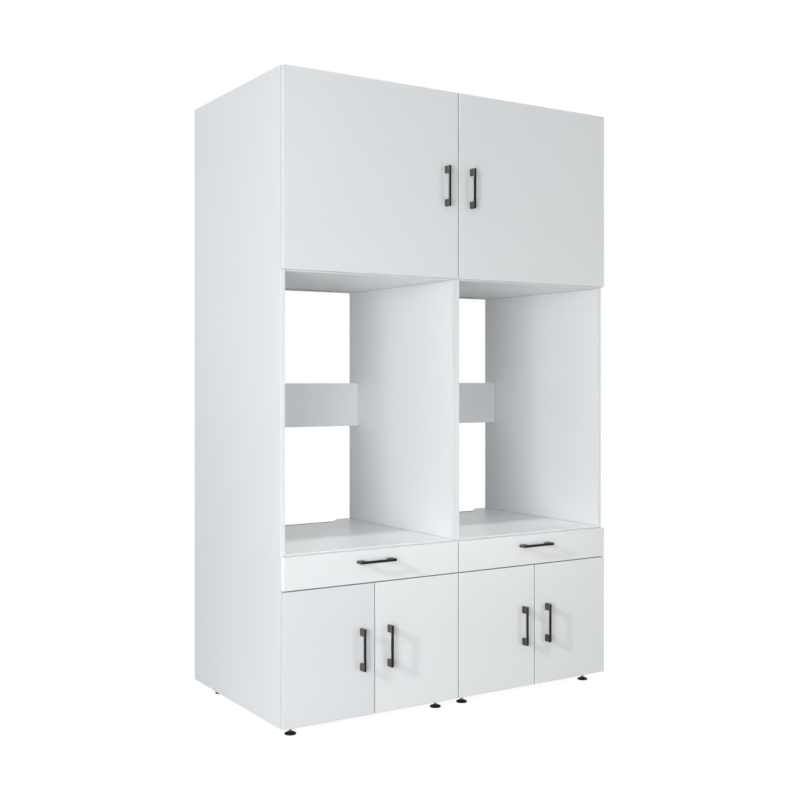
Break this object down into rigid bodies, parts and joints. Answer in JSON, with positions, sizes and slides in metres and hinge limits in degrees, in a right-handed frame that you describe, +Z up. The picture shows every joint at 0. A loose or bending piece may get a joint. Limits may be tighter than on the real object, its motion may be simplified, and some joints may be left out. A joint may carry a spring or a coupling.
{
  "type": "washing machine cabinet",
  "caption": "Tall double laundry cabinet with open machine bays, hinged cupboards above, drawers and hinged doors below, bar handles, back rails and levelling feet.",
  "frame": {"origin": "on the floor under the middle of the cabinet's bounding box", "axes": "+X to the right seen from the front, front faces -Y, +Z up"},
  "size_m": [1.29, 0.728, 2.04],
  "materials": {
    "white_board": "particle board faced with satin white melamine",
    "white_front": "particle board faced with smooth white gloss",
    "white_backing": "white painted hardboard",
    "black_metal": "satin black",
    "foot_plastic": "moulded",
    "zinc_steel": "zinc plated",
    "nickel_steel": "nickel plated"
  },
  "bodies": {
    "carcass": {"back_rails": "white_board", "cabinet_slides": "zinc_steel", "foot_pads": "foot_plastic", "foot_studs": "zinc_steel", "hinge_arms": "nickel_steel", "lower_back_sheets": "white_backing", "upper_back_sheets": "white_backing", "shelves": "white_board", "shelf_supports": "nickel_steel", "left_bay_ceiling": "white_board", "left_bay_floor": "white_board", "left_bottom_panel": "white_board", "left_drawer_divider": "white_board", "left_top_panel": "white_board", "left_tower_left_side": "white_board", "left_tower_right_side": "white_board", "right_bay_ceiling": "white_board", "right_bay_floor": "white_board", "right_bottom_panel": "white_board", "right_drawer_divider": "white_board", "right_top_panel": "white_board", "right_tower_left_side": "white_board", "right_tower_right_side": "white_board"},
    "left_upper_door": {"left_upper_door_panel": "white_front", "left_upper_door_cups": "nickel_steel", "left_upper_door_handle": "black_metal"},
    "left_upper_door_link_pair": {"left_upper_door_links": "nickel_steel"},
    "right_upper_door": {"right_upper_door_panel": "white_front", "right_upper_door_cups": "nickel_steel", "right_upper_door_handle": "black_metal"},
    "right_upper_door_link_pair": {"right_upper_door_links": "nickel_steel"},
    "left_outer_door": {"left_outer_door_panel": "white_front", "left_outer_door_cups": "nickel_steel", "left_outer_door_handle": "black_metal"},
    "left_outer_door_link_pair": {"left_outer_door_links": "nickel_steel"},
    "left_inner_door": {"left_inner_door_panel": "white_front", "left_inner_door_cups": "nickel_steel", "left_inner_door_handle": "black_metal"},
    "left_inner_door_link_pair": {"left_inner_door_links": "nickel_steel"},
    "right_inner_door": {"right_inner_door_panel": "white_front", "right_inner_door_cups": "nickel_steel", "right_inner_door_handle": "black_metal"},
    "right_inner_door_link_pair": {"right_inner_door_links": "nickel_steel"},
    "right_outer_door": {"right_outer_door_panel": "white_front", "right_outer_door_cups": "nickel_steel", "right_outer_door_handle": "black_metal"},
    "right_outer_door_link_pair": {"right_outer_door_links": "nickel_steel"},
    "left_drawer": {"left_drawer_front": "white_front", "left_drawer_boards": "white_board", "left_drawer_bottom": "white_backing", "left_drawer_slides": "zinc_steel", "left_drawer_handle": "black_metal"},
    "left_middle_slide_pair": {"left_middle_slides": "zinc_steel"},
    "right_drawer": {"right_drawer_front": "white_front", "right_drawer_boards": "white_board", "right_drawer_bottom": "white_backing", "right_drawer_slides": "zinc_steel", "right_drawer_handle": "black_metal"},
    "right_middle_slide_pair": {"right_middle_slides": "zinc_steel"}
  },
  "joints": [
    {"name": "left_upper_door_swing", "type": "hinge", "parent": "carcass", "child": "left_upper_door", "pos_m": [-0.6365, -0.3345, 1.7305], "axis": [0, 0, -1], "range_deg": [0, 105]},
    {"name": "left_upper_door_link_swing", "type": "hinge", "parent": "carcass", "child": "left_upper_door_link_pair", "pos_m": [-0.6101, -0.3208, 1.7305], "axis": [0, 0, -1], "range_deg": [-25, 0]},
    {"name": "right_upper_door_swing", "type": "hinge", "parent": "carcass", "child": "right_upper_door", "pos_m": [0.6365, -0.3345, 1.7305], "axis": [0, 0, 1], "range_deg": [0, 105]},
    {"name": "right_upper_door_link_swing", "type": "hinge", "parent": "carcass", "child": "right_upper_door_link_pair", "pos_m": [0.6101, -0.3208, 1.7305], "axis": [0, 0, 1], "range_deg": [-25, 0]},
    {"name": "left_outer_door_swing", "type": "hinge", "parent": "carcass", "child": "left_outer_door", "pos_m": [-0.6365, -0.3345, 0.241], "axis": [0, 0, -1], "range_deg": [0, 105]},
    {"name": "left_outer_door_link_swing", "type": "hinge", "parent": "carcass", "child": "left_outer_door_link_pair", "pos_m": [-0.6101, -0.3208, 0.241], "axis": [0, 0, -1], "range_deg": [-25, 0]},
    {"name": "left_inner_door_swing", "type": "hinge", "parent": "carcass", "child": "left_inner_door", "pos_m": [-0.0085, -0.3345, 0.241], "axis": [0, 0, 1], "range_deg": [0, 84]},
    {"name": "left_inner_door_link_swing", "type": "hinge", "parent": "carcass", "child": "left_inner_door_link_pair", "pos_m": [-0.0349, -0.3208, 0.241], "axis": [0, 0, 1], "range_deg": [-25, 0]},
    {"name": "right_inner_door_swing", "type": "hinge", "parent": "carcass", "child": "right_inner_door", "pos_m": [0.0085, -0.3345, 0.241], "axis": [0, 0, -1], "range_deg": [0, 84]},
    {"name": "right_inner_door_link_swing", "type": "hinge", "parent": "carcass", "child": "right_inner_door_link_pair", "pos_m": [0.0349, -0.3208, 0.241], "axis": [0, 0, -1], "range_deg": [-25, 0]},
    {"name": "right_outer_door_swing", "type": "hinge", "parent": "carcass", "child": "right_outer_door", "pos_m": [0.6365, -0.3345, 0.241], "axis": [0, 0, 1], "range_deg": [0, 105]},
    {"name": "right_outer_door_link_swing", "type": "hinge", "parent": "carcass", "child": "right_outer_door_link_pair", "pos_m": [0.6101, -0.3208, 0.241], "axis": [0, 0, 1], "range_deg": [-25, 0]},
    {"name": "left_drawer_slide", "type": "slide", "parent": "carcass", "child": "left_drawer", "axis": [0, -1, 0], "range_m": [0, 0.45]},
    {"name": "left_middle_slide", "type": "slide", "parent": "carcass", "child": "left_middle_slide_pair", "axis": [0, -1, 0], "range_m": [0, 0.225]},
    {"name": "right_drawer_slide", "type": "slide", "parent": "carcass", "child": "right_drawer", "axis": [0, -1, 0], "range_m": [0, 0.45]},
    {"name": "right_middle_slide", "type": "slide", "parent": "carcass", "child": "right_middle_slide_pair", "axis": [0, -1, 0], "range_m": [0, 0.225]}
  ],
  "couplings": [
    {"joint": "left_upper_door_link_swing", "follows": "left_upper_door_swing", "ratio": -0.23},
    {"joint": "right_upper_door_link_swing", "follows": "right_upper_door_swing", "ratio": -0.23},
    {"joint": "left_outer_door_link_swing", "follows": "left_outer_door_swing", "ratio": -0.23},
    {"joint": "left_inner_door_link_swing", "follows": "left_inner_door_swing", "ratio": -0.23},
    {"joint": "right_inner_door_link_swing", "follows": "right_inner_door_swing", "ratio": -0.23},
    {"joint": "right_outer_door_link_swing", "follows": "right_outer_door_swing", "ratio": -0.23},
    {"joint": "left_middle_slide", "follows": "left_drawer_slide", "ratio": 0.5},
    {"joint": "right_middle_slide", "follows": "right_drawer_slide", "ratio": 0.5}
  ]
}
